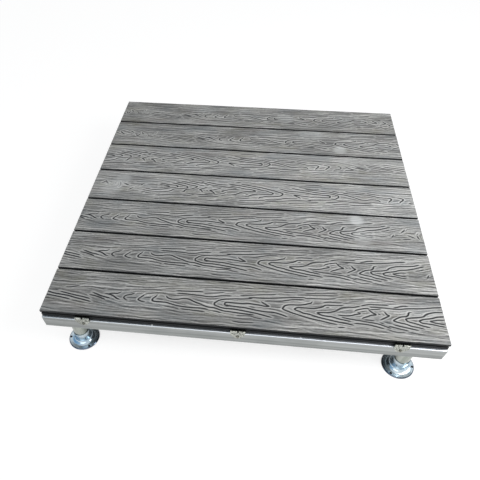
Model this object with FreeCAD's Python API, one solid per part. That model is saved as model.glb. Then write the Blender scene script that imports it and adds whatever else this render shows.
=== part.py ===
import FreeCAD, Part

import math
import os

from FreeCAD import Vector

# Raised square deck panel: grooved composite boards on a metal frame that stands on four short legs.
# All sizes are in millimetres.
# Frame of the model: origin on the floor under the panel's centre, X along the boards (left to right),
# Y from the front edge to the rear edge, Z up.

# Deck boards
BOARD_COUNT = 7
BOARD_LENGTH = 1000.0
BOARD_WIDTH = 138.0
BOARD_THICKNESS = 23.0
BOARD_GAP = 5.0
BOARD_TOP_RADIUS = 1.5

# Side grooves of a board, which the clips grip
TOP_LIP_THICKNESS = 7.5
SIDE_GROOVE_HEIGHT = 6.5
SIDE_GROOVE_DEPTH = 8.5
LOWER_LIP_SETBACK = 1.0

# Hollow chambers along a board
CHAMBER_COUNT = 5
CHAMBER_SKIN = 5.5
CHAMBER_WEB = 5.0
CHAMBER_GROOVE_WALL = 5.0
CHAMBER_BEVEL = 3.5

# Shallow channels along a board's underside
CHANNEL_COUNT = 6
CHANNEL_WIDTH = 9.0
CHANNEL_DEPTH = 1.2

# Frame of box tubes
RAIL_WIDTH = 50.0
RAIL_HEIGHT = 40.0
RAIL_PROUD = 5.0
JOIST_COUNT = 3
JOIST_WIDTH = 40.0
JOIST_END_INSET = 107.0
TUBE_WALL = 2.0
TUBE_RADIUS = 2.5

# Plugs in the open ends of the rails
CAP_PLATE = 2.0
CAP_PLUG_LENGTH = 14.0
CAP_PLUG_WALL = 2.0
CAP_CLEARANCE = 0.2

# Legs
LEG_HEIGHT = 87.0
LEG_END_INSET = 73.0
POST_DIAMETER = 38.0
POST_WALL = 1.5

# Bell-shaped flange feet
FLANGE_DIAMETER = 83.0
FLANGE_SEAT = 3.0
FLANGE_RIM_BEVEL = 1.5
FLANGE_LAND = 7.8
FLANGE_LAND_THICKNESS = 3.5
FLANGE_BELL_HEIGHT = 40.0
FLANGE_COVE_RADIUS = 12.5
FLANGE_COLLAR_WALL = 1.6
FLANGE_POST_CLEARANCE = 0.1
FLANGE_HOLE_COUNT = 3
FLANGE_HOLE_DIAMETER = 4.5
FLANGE_HOLE_EDGE = 5.2
FLANGE_FIRST_HOLE_DEGREES = 127.5

# Clips of folded sheet that hold the outer edges of the first and last boards
EDGE_CLIP_WIDTH = 37.0
EDGE_CLIP_SHEET = 1.5
EDGE_CLIP_BEND = 2.0
EDGE_CLIP_NOTCH = 4.0
EDGE_CLIP_NOTCH_DROP = 3.0
EDGE_CLIP_SHOULDER = 3.0
EDGE_CLIP_TIP_WIDTH = 14.0
EDGE_CLIP_TIP_RADIUS = 5.0
EDGE_SCREW_DROP = 12.0
EDGE_CLIP_TIP_BELOW_SCREW = 7.0

# Clips hidden in the gaps, standing on the joists
GAP_CLIP_WIDTH = 36.0
GAP_CLIP_SHEET = 1.0
GAP_CLIP_SIDE_CLEARANCE = 0.25
CLIP_REACH_CLEARANCE = 1.5

# Screws
EDGE_SCREW_HEAD = 7.0
EDGE_SCREW_HEAD_HEIGHT = 2.4
EDGE_SCREW_SHANK = 3.8
EDGE_SCREW_BEYOND_WALL = 8.0
GAP_SCREW_HEAD = 7.5
GAP_SCREW_HEAD_HEIGHT = 2.2
GAP_SCREW_SHANK = 4.0
GAP_SCREW_BEYOND_WALL = 6.0
STRIP_SCREW_HEAD = 3.6
STRIP_SCREW_HEAD_HEIGHT = 1.6
STRIP_SCREW_SHANK = 2.0
STRIP_SCREW_BEYOND_WALL = 5.0
STRIP_SCREW_LIP_CLEARANCE = 0.2
STRIP_SCREW_PLACES = (285.0, 653.0)
EDGE_SCREW_HEAD_BEVEL = 0.7
SCREW_RECESS_WIDTH = 0.8
SCREW_RECESS_DEPTH = 0.9
SCREW_RECESS_SHARE = 0.6

# Places worked out from the sizes above
DECK_DEPTH = BOARD_COUNT * BOARD_WIDTH + (BOARD_COUNT - 1) * BOARD_GAP
DECK_FRONT = -DECK_DEPTH / 2.0
RAIL_TOP = LEG_HEIGHT + RAIL_HEIGHT
RAIL_FRONT = DECK_FRONT - RAIL_PROUD
RAIL_CENTRE = RAIL_FRONT + RAIL_WIDTH / 2.0
RAIL_INNER = RAIL_FRONT + RAIL_WIDTH
LOWER_LIP = BOARD_THICKNESS - TOP_LIP_THICKNESS - SIDE_GROOVE_HEIGHT
CLIP_SEAT = RAIL_TOP + LOWER_LIP
LEFT_END = -BOARD_LENGTH / 2.0

SIDES = {"left": -1.0, "right": 1.0}
ENDS = {"front": 1.0, "rear": -1.0}
JOIST_NAMES = {
    1: ("middle",),
    2: ("left", "right"),
    3: ("left", "middle", "right"),
}


def plane_x(x):
    """Points (u, v) lie at Y = u and Z = v on the plane at x."""
    return lambda u, v: Vector(x, u, v)


def plane_y(y):
    """Points (u, v) lie at X = u and Z = v on the plane at y."""
    return lambda u, v: Vector(u, y, v)


def rounded_face(corners, plane):
    """Flat face through corners (u, v, radius), with an arc at each corner that has a radius."""
    starts = []
    edges = []
    count = len(corners)
    for index, (u, v, radius) in enumerate(corners):
        point = plane(u, v)
        if radius <= 0.0:
            starts.append((point, point))
            continue
        before = plane(*corners[index - 1][:2]).sub(point).normalize()
        after = plane(*corners[(index + 1) % count][:2]).sub(point).normalize()
        half_angle = before.getAngle(after) / 2.0
        reach = radius / math.tan(half_angle)
        inward = before.add(after).normalize()
        first = point.add(before * reach)
        last = point.add(after * reach)
        middle = point.add(inward * (radius / math.sin(half_angle) - radius))
        edges.append(Part.Arc(first, middle, last).toShape())
        starts.append((first, last))
    for index in range(count):
        here = starts[index][1]
        there = starts[(index + 1) % count][0]
        edges.append(Part.LineSegment(here, there).toShape())
    return Part.Face(Part.Wire(Part.__sortEdges__(edges)))


def rectangle(low_u, low_v, high_u, high_v, radius):
    """Corners of a rectangle with one corner radius."""
    return [
        (low_u, low_v, radius),
        (high_u, low_v, radius),
        (high_u, high_v, radius),
        (low_u, high_v, radius),
    ]


def bevelled(low_u, low_v, high_u, high_v, bevel):
    """Corners of a rectangle with its four corners cut off."""
    return [
        (low_u, low_v + bevel, 0.0),
        (low_u + bevel, low_v, 0.0),
        (high_u - bevel, low_v, 0.0),
        (high_u, low_v + bevel, 0.0),
        (high_u, high_v - bevel, 0.0),
        (high_u - bevel, high_v, 0.0),
        (low_u + bevel, high_v, 0.0),
        (low_u, high_v - bevel, 0.0),
    ]


def joist_places():
    """Name and X of each joist, spread evenly between the two outer ones."""
    names = JOIST_NAMES.get(JOIST_COUNT, tuple(str(index + 1) for index in range(JOIST_COUNT)))
    outer = -LEFT_END - JOIST_END_INSET
    if JOIST_COUNT == 1:
        return [(names[0], 0.0)]
    step = 2.0 * outer / (JOIST_COUNT - 1)
    return [(names[index], -outer + index * step) for index in range(JOIST_COUNT)]


def leg_places():
    """Name, sign of X and sign of Y of each leg: two under each rail."""
    places = []
    for end, front in ENDS.items():
        for side, right in SIDES.items():
            places.append((end + "_" + side, right, -front))
    return places


def moved_to_leg(shape, right, rear):
    """A piece of the rear right leg, mirrored into the quarter of the panel that the signs give."""
    placed = shape.copy()
    if right < 0.0:
        placed = placed.mirror(Vector(0, 0, 0), Vector(1, 0, 0))
    if rear < 0.0:
        placed = placed.mirror(Vector(0, 0, 0), Vector(0, 1, 0))
    placed.translate(Vector(-right * (LEFT_END + LEG_END_INSET), -rear * RAIL_CENTRE, 0))
    return placed


def turned_to_end(shape, sign):
    """The shape as it is at the front, or turned half a turn about Z for the rear."""
    copy = shape.copy()
    if sign < 0.0:
        copy.rotate(Vector(0, 0, 0), Vector(0, 0, 1), 180.0)
    return copy


def board_section(front):
    """Cross-section of a board whose front edge is at Y = front."""
    width = BOARD_WIDTH
    groove_floor = LOWER_LIP
    groove_roof = BOARD_THICKNESS - TOP_LIP_THICKNESS
    pitch = (width - 2.0 * LOWER_LIP_SETBACK) / CHANNEL_COUNT
    underside = []
    for index in range(CHANNEL_COUNT):
        middle = LOWER_LIP_SETBACK + (index + 0.5) * pitch
        low = middle - CHANNEL_WIDTH / 2.0
        high = middle + CHANNEL_WIDTH / 2.0
        underside.append((low, 0.0, 0.0))
        underside.append((low, CHANNEL_DEPTH, 0.0))
        underside.append((high, CHANNEL_DEPTH, 0.0))
        underside.append((high, 0.0, 0.0))
    corners = [(LOWER_LIP_SETBACK, 0.0, 0.0)]
    corners += underside
    corners += [
        (width - LOWER_LIP_SETBACK, 0.0, 0.0),
        (width - LOWER_LIP_SETBACK, groove_floor, 0.0),
        (width - SIDE_GROOVE_DEPTH, groove_floor, 0.0),
        (width - SIDE_GROOVE_DEPTH, groove_roof, 0.0),
        (width, groove_roof, 0.0),
        (width, BOARD_THICKNESS, BOARD_TOP_RADIUS),
        (0.0, BOARD_THICKNESS, BOARD_TOP_RADIUS),
        (0.0, groove_roof, 0.0),
        (SIDE_GROOVE_DEPTH, groove_roof, 0.0),
        (SIDE_GROOVE_DEPTH, groove_floor, 0.0),
        (LOWER_LIP_SETBACK, groove_floor, 0.0),
    ]
    return [(front + u, RAIL_TOP + v, radius) for u, v, radius in corners]


def chamber_sections(front):
    """Cross-sections of a board's hollow chambers."""
    first = SIDE_GROOVE_DEPTH + CHAMBER_GROOVE_WALL
    room = BOARD_WIDTH - 2.0 * first - (CHAMBER_COUNT - 1) * CHAMBER_WEB
    width = room / CHAMBER_COUNT
    low = RAIL_TOP + CHAMBER_SKIN
    high = RAIL_TOP + BOARD_THICKNESS - CHAMBER_SKIN
    sections = []
    for index in range(CHAMBER_COUNT):
        start = front + first + index * (width + CHAMBER_WEB)
        sections.append(bevelled(start, low, start + width, high, CHAMBER_BEVEL))
    return sections


def deck_board(index):
    """Extruded board with a groove along each side and hollow chambers right through."""
    front = DECK_FRONT + index * (BOARD_WIDTH + BOARD_GAP)
    along = Vector(BOARD_LENGTH, 0, 0)
    board = rounded_face(board_section(front), plane_x(LEFT_END)).extrude(along)
    chambers = [
        rounded_face(section, plane_x(LEFT_END)).extrude(along)
        for section in chamber_sections(front)
    ]
    return board.cut(Part.makeCompound(chambers))


def box_tube(low_u, low_v, high_u, high_v, plane, along):
    """Box tube with round outer corners, extruded from its end plane."""
    outer = rounded_face(rectangle(low_u, low_v, high_u, high_v, TUBE_RADIUS), plane)
    inner = rounded_face(
        rectangle(
            low_u + TUBE_WALL,
            low_v + TUBE_WALL,
            high_u - TUBE_WALL,
            high_v - TUBE_WALL,
            0.0,
        ),
        plane,
    )
    return outer.extrude(along).cut(inner.extrude(along))


def strip_screw_places():
    """X and Y of the small screws on the strip of front rail that the boards leave bare."""
    y = DECK_FRONT + LOWER_LIP_SETBACK - STRIP_SCREW_LIP_CLEARANCE - STRIP_SCREW_HEAD / 2.0
    return [(LEFT_END + along, y) for along in STRIP_SCREW_PLACES]


def edge_screw_height():
    """Z of the screws through the legs of the edge clips."""
    return RAIL_TOP - EDGE_SCREW_DROP


def front_rail_blank():
    """Box tube of the front rail, short of the panel's ends by the plates of its end caps."""
    start = LEFT_END + CAP_PLATE
    along = Vector(BOARD_LENGTH - 2.0 * CAP_PLATE, 0, 0)
    tube = box_tube(RAIL_FRONT, LEG_HEIGHT, RAIL_INNER, RAIL_TOP, plane_x(start), along)
    holes = [
        Part.makeCylinder(
            EDGE_SCREW_SHANK / 2.0,
            TUBE_WALL,
            Vector(x, RAIL_FRONT, edge_screw_height()),
            Vector(0, 1, 0),
        )
        for name, x in joist_places()
    ]
    return tube.cut(Part.makeCompound(holes))


def front_rail():
    """Front rail, with a pilot hole for each edge clip and each strip screw."""
    holes = [
        Part.makeCylinder(STRIP_SCREW_SHANK / 2.0, TUBE_WALL, Vector(x, y, RAIL_TOP - TUBE_WALL))
        for x, y in strip_screw_places()
    ]
    return front_rail_blank().cut(Part.makeCompound(holes))


def rear_rail():
    """Rear rail: the front rail turned round, without strip screws."""
    return turned_to_end(front_rail_blank(), ENDS["rear"])


def end_cap():
    """Plug for the left end of the front rail: a plate with a hollow plug behind it."""
    plate_outline = rectangle(RAIL_FRONT, LEG_HEIGHT, RAIL_INNER, RAIL_TOP, TUBE_RADIUS)
    plate = rounded_face(plate_outline, plane_x(LEFT_END)).extrude(Vector(CAP_PLATE, 0, 0))
    inset = TUBE_WALL + CAP_CLEARANCE
    plug_plane = plane_x(LEFT_END + CAP_PLATE)
    along = Vector(CAP_PLUG_LENGTH, 0, 0)
    plug = rounded_face(
        rectangle(RAIL_FRONT + inset, LEG_HEIGHT + inset, RAIL_INNER - inset, RAIL_TOP - inset, 0.0),
        plug_plane,
    ).extrude(along)
    hollow_inset = inset + CAP_PLUG_WALL
    hollow = rounded_face(
        rectangle(
            RAIL_FRONT + hollow_inset,
            LEG_HEIGHT + hollow_inset,
            RAIL_INNER - hollow_inset,
            RAIL_TOP - hollow_inset,
            0.0,
        ),
        plug_plane,
    ).extrude(along)
    return plate.fuse(plug.cut(hollow)).removeSplitter()


def joist(x):
    """Box tube from rail to rail, with a pilot hole under each gap between boards."""
    depth = -2.0 * RAIL_INNER
    low = x - JOIST_WIDTH / 2.0
    high = x + JOIST_WIDTH / 2.0
    tube = box_tube(low, LEG_HEIGHT, high, RAIL_TOP, plane_y(RAIL_INNER), Vector(0, depth, 0))
    holes = [
        Part.makeCylinder(GAP_SCREW_SHANK / 2.0, TUBE_WALL, Vector(x, y, RAIL_TOP - TUBE_WALL))
        for y in gap_places()
    ]
    return tube.cut(Part.makeCompound(holes))


def gap_places():
    """Y of the middle of each gap between two boards."""
    return [
        DECK_FRONT + index * (BOARD_WIDTH + BOARD_GAP) - BOARD_GAP / 2.0
        for index in range(1, BOARD_COUNT)
    ]


def leg_post():
    """Round tube from the seat in its foot up to the underside of the rail."""
    height = LEG_HEIGHT - FLANGE_SEAT
    base = Vector(0, 0, FLANGE_SEAT)
    outside = Part.makeCylinder(POST_DIAMETER / 2.0, height, base)
    return outside.cut(Part.makeCylinder(POST_DIAMETER / 2.0 - POST_WALL, height, base))


def cove_and_neck(start, end):
    """Concave arc from a level start, and the straight neck that runs on from it up to the end."""
    centre = start.add(Vector(0, 0, FLANGE_COVE_RADIUS))
    inward = start.x - end.x
    upward = end.z - centre.z
    reach = math.hypot(inward, upward)
    turn = math.atan2(upward, inward) + math.asin(FLANGE_COVE_RADIUS / reach)

    def on_arc(angle):
        across = -FLANGE_COVE_RADIUS * math.sin(angle)
        return centre.add(Vector(across, 0, -FLANGE_COVE_RADIUS * math.cos(angle)))

    joint = on_arc(turn)
    return Part.Arc(start, on_arc(turn / 2.0), joint), Part.LineSegment(joint, end)


def flange_foot():
    """Bell-shaped foot: a flat screwed flange that sweeps up to a collar round the post."""
    rim = FLANGE_DIAMETER / 2.0
    bore = POST_DIAMETER / 2.0 + FLANGE_POST_CLEARANCE
    collar = bore + FLANGE_COLLAR_WALL
    land = rim - FLANGE_LAND
    bell_start = Vector(land, 0, FLANGE_LAND_THICKNESS)
    bell_end = Vector(collar, 0, FLANGE_BELL_HEIGHT)
    cove, neck = cove_and_neck(bell_start, bell_end)
    rim_edge = Vector(rim - FLANGE_RIM_BEVEL, 0, FLANGE_LAND_THICKNESS)
    rim_side = Vector(rim, 0, FLANGE_LAND_THICKNESS - FLANGE_RIM_BEVEL)
    edges = [
        Part.LineSegment(Vector(0, 0, 0), Vector(rim, 0, 0)).toShape(),
        Part.LineSegment(Vector(rim, 0, 0), rim_side).toShape(),
        Part.LineSegment(rim_side, rim_edge).toShape(),
        Part.LineSegment(rim_edge, bell_start).toShape(),
        cove.toShape(),
        neck.toShape(),
        Part.LineSegment(bell_end, Vector(bore, 0, FLANGE_BELL_HEIGHT)).toShape(),
        Part.LineSegment(
            Vector(bore, 0, FLANGE_BELL_HEIGHT), Vector(bore, 0, FLANGE_SEAT)
        ).toShape(),
        Part.LineSegment(Vector(bore, 0, FLANGE_SEAT), Vector(0, 0, FLANGE_SEAT)).toShape(),
        Part.LineSegment(Vector(0, 0, FLANGE_SEAT), Vector(0, 0, 0)).toShape(),
    ]
    half_section = Part.Face(Part.Wire(edges))
    foot = half_section.revolve(Vector(0, 0, 0), Vector(0, 0, 1), 360.0)
    hole_circle = rim - FLANGE_HOLE_EDGE
    step = 360.0 / FLANGE_HOLE_COUNT
    holes = []
    for index in range(FLANGE_HOLE_COUNT):
        angle = math.radians(FLANGE_FIRST_HOLE_DEGREES + index * step)
        centre = Vector(hole_circle * math.cos(angle), hole_circle * math.sin(angle), 0)
        holes.append(
            Part.makeCylinder(FLANGE_HOLE_DIAMETER / 2.0, FLANGE_BELL_HEIGHT, centre)
        )
    return foot.cut(Part.makeCompound(holes))


def edge_clip(x):
    """Front edge clip: a split tongue in the board's groove, folded down over the rail's face."""
    tongue_top = CLIP_SEAT + EDGE_CLIP_SHEET
    tongue_end = DECK_FRONT + SIDE_GROOVE_DEPTH - CLIP_REACH_CLEARANCE
    face = RAIL_FRONT - EDGE_CLIP_SHEET
    tip = edge_screw_height() - EDGE_CLIP_TIP_BELOW_SCREW
    shoulder = RAIL_TOP - EDGE_CLIP_SHOULDER
    half = EDGE_CLIP_WIDTH / 2.0
    fold = [
        (tongue_end, CLIP_SEAT, 0.0),
        (tongue_end, tongue_top, 0.0),
        (face, tongue_top, EDGE_CLIP_BEND),
        (face, tip, 0.0),
        (RAIL_FRONT, tip, 0.0),
        (RAIL_FRONT, CLIP_SEAT, 0.0),
    ]
    sheet = rounded_face(fold, plane_x(x - half)).extrude(Vector(EDGE_CLIP_WIDTH, 0, 0))
    outline = [
        (x - half, tongue_top, 0.0),
        (x - half, shoulder, 0.0),
        (x - EDGE_CLIP_TIP_WIDTH / 2.0, tip, EDGE_CLIP_TIP_RADIUS),
        (x + EDGE_CLIP_TIP_WIDTH / 2.0, tip, EDGE_CLIP_TIP_RADIUS),
        (x + half, shoulder, 0.0),
        (x + half, tongue_top, 0.0),
    ]
    length = tongue_end - face
    blank = rounded_face(outline, plane_y(face)).extrude(Vector(0, length, 0))
    clip = sheet.common(blank)
    notch = Part.makeBox(
        EDGE_CLIP_NOTCH,
        length,
        EDGE_CLIP_SHEET + EDGE_CLIP_NOTCH_DROP,
        Vector(x - EDGE_CLIP_NOTCH / 2.0, face, CLIP_SEAT - EDGE_CLIP_NOTCH_DROP),
    )
    hole = Part.makeCylinder(
        EDGE_SCREW_SHANK / 2.0,
        EDGE_CLIP_SHEET,
        Vector(x, face, edge_screw_height()),
        Vector(0, 1, 0),
    )
    return clip.cut(Part.makeCompound([notch, hole]))


def gap_clip(x, y):
    """Hidden clip: a plate in the grooves of two neighbouring boards, standing on two folded feet."""
    half_width = GAP_CLIP_WIDTH / 2.0
    half_depth = BOARD_GAP / 2.0 + SIDE_GROOVE_DEPTH - CLIP_REACH_CLEARANCE
    neck = BOARD_GAP / 2.0 + LOWER_LIP_SETBACK - GAP_CLIP_SIDE_CLEARANCE
    plate = Part.makeBox(
        GAP_CLIP_WIDTH,
        2.0 * half_depth,
        GAP_CLIP_SHEET,
        Vector(x - half_width, y - half_depth, CLIP_SEAT),
    )
    hole = Part.makeCylinder(GAP_SCREW_SHANK / 2.0, GAP_CLIP_SHEET, Vector(x, y, CLIP_SEAT))
    feet = [
        Part.makeBox(
            GAP_CLIP_SHEET,
            2.0 * neck,
            LOWER_LIP,
            Vector(start, y - neck, RAIL_TOP),
        )
        for start in (x - half_width, x + half_width - GAP_CLIP_SHEET)
    ]
    return plate.cut(hole).multiFuse(feet).removeSplitter()


def screw(head, head_height, shank, length, bevel):
    """Screw along Z, with the underside of its head at the origin and its shank below."""
    outline = [Vector(0, 0, head_height), Vector(head / 2.0 - bevel, 0, head_height)]
    if bevel > 0.0:
        outline.append(Vector(head / 2.0, 0, head_height - bevel))
    outline += [
        Vector(head / 2.0, 0, 0),
        Vector(shank / 2.0, 0, 0),
        Vector(shank / 2.0, 0, -length),
        Vector(0, 0, -length),
        Vector(0, 0, head_height),
    ]
    half_section = Part.Face(Part.makePolygon(outline))
    return half_section.revolve(Vector(0, 0, 0), Vector(0, 0, 1), 360.0)


def cross_recess(head, head_height):
    """The cross cut into a screw's head for the driver."""
    reach = head * SCREW_RECESS_SHARE
    low = head_height - SCREW_RECESS_DEPTH
    slots = [
        Part.makeBox(size_x, size_y, head_height, Vector(-size_x / 2.0, -size_y / 2.0, low))
        for size_x, size_y in ((reach, SCREW_RECESS_WIDTH), (SCREW_RECESS_WIDTH, reach))
    ]
    return slots[0].fuse(slots[1])


def edge_clip_screws():
    """Screws through the legs of all the edge clips into the faces of the two rails."""
    length = EDGE_CLIP_SHEET + TUBE_WALL + EDGE_SCREW_BEYOND_WALL
    pattern = screw(
        EDGE_SCREW_HEAD, EDGE_SCREW_HEAD_HEIGHT, EDGE_SCREW_SHANK, length, EDGE_SCREW_HEAD_BEVEL
    )
    pattern = pattern.cut(cross_recess(EDGE_SCREW_HEAD, EDGE_SCREW_HEAD_HEIGHT))
    pattern.rotate(Vector(0, 0, 0), Vector(1, 0, 0), 90.0)
    screws = []
    for sign in ENDS.values():
        for name, x in joist_places():
            placed = pattern.copy()
            placed.translate(Vector(x, RAIL_FRONT - EDGE_CLIP_SHEET, edge_screw_height()))
            screws.append(turned_to_end(placed, sign))
    return Part.makeCompound(screws)


def gap_clip_screws():
    """Screws through the hidden clips into the joists."""
    length = GAP_CLIP_SHEET + LOWER_LIP + TUBE_WALL + GAP_SCREW_BEYOND_WALL
    pattern = screw(GAP_SCREW_HEAD, GAP_SCREW_HEAD_HEIGHT, GAP_SCREW_SHANK, length, 0.0)
    screws = []
    for y in gap_places():
        for name, x in joist_places():
            placed = pattern.copy()
            placed.translate(Vector(x, y, CLIP_SEAT + GAP_CLIP_SHEET))
            screws.append(placed)
    return Part.makeCompound(screws)


def front_strip_screws():
    """Small screws on the strip of front rail that the boards leave bare."""
    length = TUBE_WALL + STRIP_SCREW_BEYOND_WALL
    screws = []
    for x, y in strip_screw_places():
        placed = screw(STRIP_SCREW_HEAD, STRIP_SCREW_HEAD_HEIGHT, STRIP_SCREW_SHANK, length, 0.0)
        placed.translate(Vector(x, y, RAIL_TOP))
        screws.append(placed)
    return Part.makeCompound(screws)


def build_parts():
    """Every sub-part by name."""
    parts = {}
    for index in range(BOARD_COUNT):
        parts["deck_board_" + str(index + 1)] = deck_board(index)
    parts["front_rail"] = front_rail()
    parts["rear_rail"] = rear_rail()
    for name, x in joist_places():
        parts["joist_" + name] = joist(x)
    for end, front in ENDS.items():
        for side, right in SIDES.items():
            cap = turned_to_end(end_cap(), front)
            if right == front:
                cap = cap.mirror(Vector(0, 0, 0), Vector(1, 0, 0))
            parts["end_cap_" + end + "_" + side] = cap
    for name, right, rear in leg_places():
        parts["leg_post_" + name] = moved_to_leg(leg_post(), right, rear)
        parts["flange_foot_" + name] = moved_to_leg(flange_foot(), right, rear)
    for name, x in joist_places():
        parts["edge_clip_front_" + name] = edge_clip(x)
        parts["edge_clip_rear_" + name] = turned_to_end(edge_clip(-x), ENDS["rear"])
    for index, y in enumerate(gap_places()):
        clips = [gap_clip(x, y) for name, x in joist_places()]
        parts["gap_clips_" + str(index + 1)] = Part.makeCompound(clips)
    parts["edge_clip_screws"] = edge_clip_screws()
    parts["gap_clip_screws"] = gap_clip_screws()
    parts["front_strip_screws"] = front_strip_screws()
    return parts


os.makedirs("parts", exist_ok=True)
for part_name, part_shape in build_parts().items():
    part_shape.exportStep("parts/" + part_name + ".step")
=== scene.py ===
"""Looks of the raised deck panel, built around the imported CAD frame.

Seven boards with an embossed grain take the place of the CAD's plain boards, and every other CAD
node keeps its shape and gets its finish. The frame has X along the boards, Y from front to rear
and Z up. Lengths are in millimetres until they reach a mesh, apart from those said to be in metres.
"""

import math

import bpy
import numpy as np
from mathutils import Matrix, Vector
from mathutils.geometry import tessellate_polygon


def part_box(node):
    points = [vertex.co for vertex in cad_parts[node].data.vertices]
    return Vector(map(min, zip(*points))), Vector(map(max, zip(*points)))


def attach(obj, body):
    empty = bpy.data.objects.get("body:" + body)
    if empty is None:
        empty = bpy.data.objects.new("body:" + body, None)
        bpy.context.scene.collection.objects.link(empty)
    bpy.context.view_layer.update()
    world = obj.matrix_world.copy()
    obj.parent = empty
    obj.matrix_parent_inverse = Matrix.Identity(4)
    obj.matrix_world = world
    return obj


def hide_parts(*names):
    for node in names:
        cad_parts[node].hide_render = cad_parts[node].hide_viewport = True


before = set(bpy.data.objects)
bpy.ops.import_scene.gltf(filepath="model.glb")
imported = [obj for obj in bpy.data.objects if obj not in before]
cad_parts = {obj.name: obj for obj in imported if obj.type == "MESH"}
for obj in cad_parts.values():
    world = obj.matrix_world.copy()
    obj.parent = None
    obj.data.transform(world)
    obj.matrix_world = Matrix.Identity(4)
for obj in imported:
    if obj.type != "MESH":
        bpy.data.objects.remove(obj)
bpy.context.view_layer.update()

MM = 0.001

# Board, as the CAD section has it.
BOARD_LENGTH = 1000.0
BOARD_WIDTH = 138.0
BOARD_THICKNESS = 23.0
BOARD_TOP_RADIUS = 1.5
TOP_LIP_THICKNESS = 7.5
SIDE_GROOVE_HEIGHT = 6.5
SIDE_GROOVE_DEPTH = 8.5
LOWER_LIP_SETBACK = 1.0
CHAMBER_COUNT = 5
CHAMBER_SKIN = 5.5
CHAMBER_WEB = 5.0
CHAMBER_GROOVE_WALL = 5.0
CHAMBER_RADIUS = 3.5
CHANNEL_COUNT = 6
CHANNEL_WIDTH = 9.0
CHANNEL_DEPTH = 1.2

# Feet, as the CAD has them, in metres: centre of the rear right one, and its screw holes.
FOOT_CENTRE = (0.427, 0.478)
FOOT_HOLE_CIRCLE = 0.0363
FOOT_HOLE_DEGREES = (7.5, 127.5, 247.5)

# Where painted shade and highlight meet the metal's own tone, in metres, from one to the other:
# shade out from a hole's centre, shade out from the foot's centre, shade up the side of the foot's
# rim, and highlight up the rail to its upper corner.
FOOT_HOLE_EDGE = (0.0029, 0.0037)
FOOT_RIM_REACH = (0.0386, 0.0396)
FOOT_RIM_HEIGHT = (0.0020, 0.0026)
RAIL_CORNER_HEIGHT = (0.1251, 0.1259)
# Left and right of the painted highlight on the rail's upper corner, in metres, and how strong it
# is there.
RAIL_CORNER_HIGHLIGHT = (-0.5, 0.35, 0.35, 1.0)

# Mesh of a board: coarse steps along its underside, each with its share of fine steps on top, and
# columns across the top, which are finer in a band along its middle.
COARSE_STEPS = 37
FINE_PER_COARSE = 12
FINE_BAND = 36.0
FINE_COLUMNS = 66
SIDE_COLUMNS = 24
EDGE_ARC_STEPS = 3
CHAMBER_ARC_STEPS = 4
SHARP_DEGREES = 40.0

# Embossing of the board tops. A stroke is wider and deeper along its middle than at its ends: the
# width shares are those of an end and what comes on top of it.
STROKE_DEPTH = 1.3
STROKE_STEP = 2.5
STROKE_REACH = 8.0
STROKE_TAPER = 6.5
END_DEPTH_SHARE = 0.35
GROOVE_HALF_WIDTH = 1.7
GROOVE_WIDTH_SHARES = (0.55, 0.5)
RIDGE_HEIGHT = 0.25
RIDGE_PLACE = 3.6
RIDGE_HALF_WIDTH = 1.7
FIBRE_DEPTH = 0.3
FIBRE_CUT = 0.4
FIBRE_CUT_SWING = 0.2
EMBOSS_MARGIN = 4.0

# Grid of the rolled pattern on which the fibres between the strokes are drawn.
PATTERN_START = -190.0
PATTERN_END = 1225.0
GRID_ALONG = 1.5
GRID_ACROSS = 1.0
FIBRE_SEED = 11
# Share, passes of fine and of broad averaging across the board, and length in grid steps.
FIBRE_LAYERS = ((0.5, 1, 6, 12), (1.0, 3, 16, 24), (0.5, 12, 60, 36))
# Pull of a stroke on the fibres beside it, near and far, as its strength and the square of its
# width, and the pull that keeps them straight elsewhere.
FIBRE_PULLS = ((2.0, 20.0), (0.03, 330.0))
FIBRE_STRAIGHT_PULL = 0.25
FIBRE_BEND_REACH = 40.0
# Waviness of the fibres: swing in radians, length in millimetres and slant across the board.
FIBRE_WAVES = ((0.07, 61.0, 1.7), (0.05, 29.0, -2.6), (0.06, 137.0, 3.1))
FIBRE_WAVE_DRIFT = 3.0
FIBRE_WAVE_DRIFT_LENGTH = 2.3
WAVE_TURN = 6.283  # a whole turn in radians, as the pattern was drawn with it
# Windows in grid steps each way with which the relief is evened out, and what keeps the quietest
# stretches from being raised too far.
BLOTCH_WINDOW = (5, 6)
STRENGTH_WINDOW = (16, 16)
QUIET_SHARE = 0.05

# Where each board's stretch of the rolled pattern starts and which way it runs, front to rear.
BOARD_PATTERNS = (
    (0.0, 1),
    (68.0, 1),
    (138.0, 1),
    (1210.0, -1),
    (995.0, -1),
    (-175.0, 1),
    (-107.0, 1),
)

# Display level of each board's colour, front to rear, and how far its grain strays from it.
BOARD_TONES = (
    (109, 1.1), (112, 1.05), (118, 1.03), (128, 1.07), (122, 1.15), (93, 1.38), (88, 1.45),
)

# Fine grain between the fibres: turns per metre along and across the board, and how much it turns
# with the fibres.
FINE_GRAIN = (60.0, 620.0, 0.7)

# Pale dusty marks: board from the front, place along and across it and size in millimetres, and
# share of dust.
DUST_MARKS = (
    (3, 819, 48, 20, 0.9), (3, 830, -22, 30, 0.35), (6, 796, -36, 22, 0.6), (5, 812, 34, 34, 0.15),
    (6, 700, 45, 40, 0.3), (7, 610, 5, 30, 0.3), (4, 62, -12, 34, 0.45), (4, 90, 30, 26, 0.4),
)
DUST_EDGE_POWER = 2.5

# Camera, fitted to the deck's corners and gap lines in the photograph. Its place and clipping are
# in metres, its turn in degrees, its lens and sensor in millimetres, and its shift in frame widths.
CAMERA_PLACE = (0.00909, -1.05549, 1.03127)
CAMERA_TURN = (37.5843, 0.6096, 6.0957)
CAMERA_LENS = 32.079
CAMERA_SENSOR = 36.0
CAMERA_SHIFT = (0.05491, 0.09782)
CAMERA_CLIP = (0.05, 60.0)

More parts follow.
